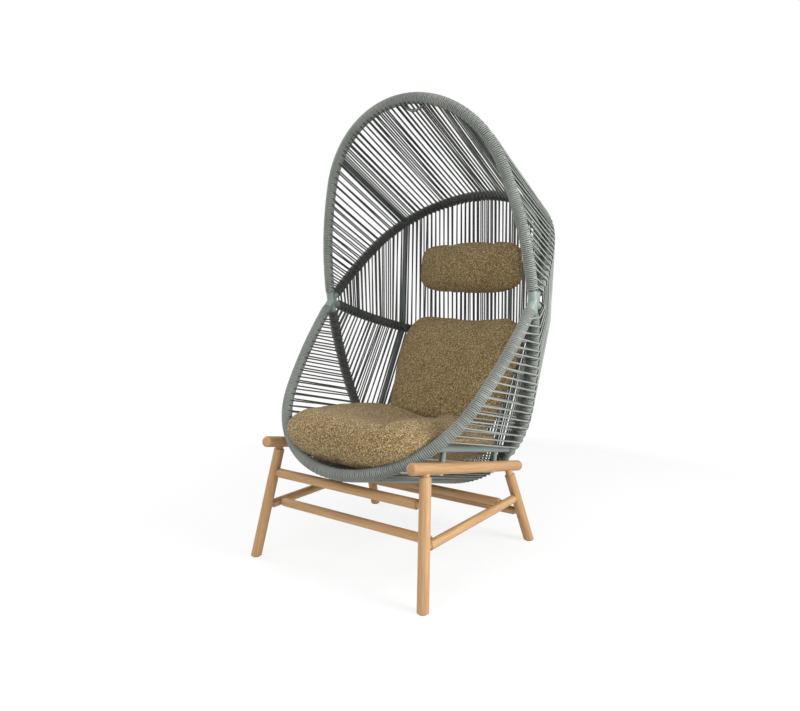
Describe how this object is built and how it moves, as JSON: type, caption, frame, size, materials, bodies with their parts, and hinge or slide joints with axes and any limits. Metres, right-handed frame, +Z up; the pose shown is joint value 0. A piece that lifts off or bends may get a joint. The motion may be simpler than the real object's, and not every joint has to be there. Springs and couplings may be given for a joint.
{
  "type": "pod chair",
  "caption": "Hooded lounge chair: a rope-strung pod of wound tube hoops bolted to a splayed turned-wood base, with seat, back and head cushions.",
  "frame": {"origin": "on the floor, under the middle of the chair's overall box", "axes": "+Z up, -Y to the front, +X to the right as seen from the front"},
  "size_m": [0.8674, 0.9352, 1.498],
  "materials": {
    "frame_paint": "sage green powder coat, satin",
    "rope": "grey-green braided outdoor rope, matt",
    "teak": "turned teak, fine straight grain, satin oil",
    "glide": "matt nylon",
    "steel": "stainless steel",
    "boucle": "mustard-olive looped boucle with lighter flecks"
  },
  "bodies": {
    "root": {"hood_rim_tube": "frame_paint", "arch_tube": "frame_paint", "belt_tube": "frame_paint", "seat_hoop_tube": "frame_paint", "lower_rim_tube": "frame_paint", "side_joint_left": "frame_paint", "side_joint_right": "frame_paint", "hood_strut_left": "frame_paint", "hood_strut_right": "frame_paint", "back_post_left": "frame_paint", "back_post_right": "frame_paint", "lower_post_left": "frame_paint", "lower_post_right": "frame_paint", "seat_rail_left": "frame_paint", "seat_rail_right": "frame_paint", "pod_spacers": "frame_paint", "hood_rim_winding": "rope", "arch_winding": "rope", "belt_winding": "rope", "seat_hoop_winding": "rope", "lower_rim_winding": "rope", "hood_ropes": "rope", "back_ropes": "rope", "lower_back_ropes": "rope", "seat_ropes": "rope", "top_rail_left": "teak", "top_rail_right": "teak", "front_leg_left": "teak", "front_leg_right": "teak", "rear_leg_left": "teak", "rear_leg_right": "teak", "side_stretcher_left": "teak", "side_stretcher_right": "teak", "front_rail": "teak", "front_cross_rail": "teak", "rear_cross_rail": "teak", "rear_rail": "teak", "foot_glides": "glide", "pod_bolts": "steel", "bolt_washers": "steel", "seat_cushion": "boucle", "back_cushion": "boucle", "headrest_cushion": "boucle"}
  },
  "joints": []
}
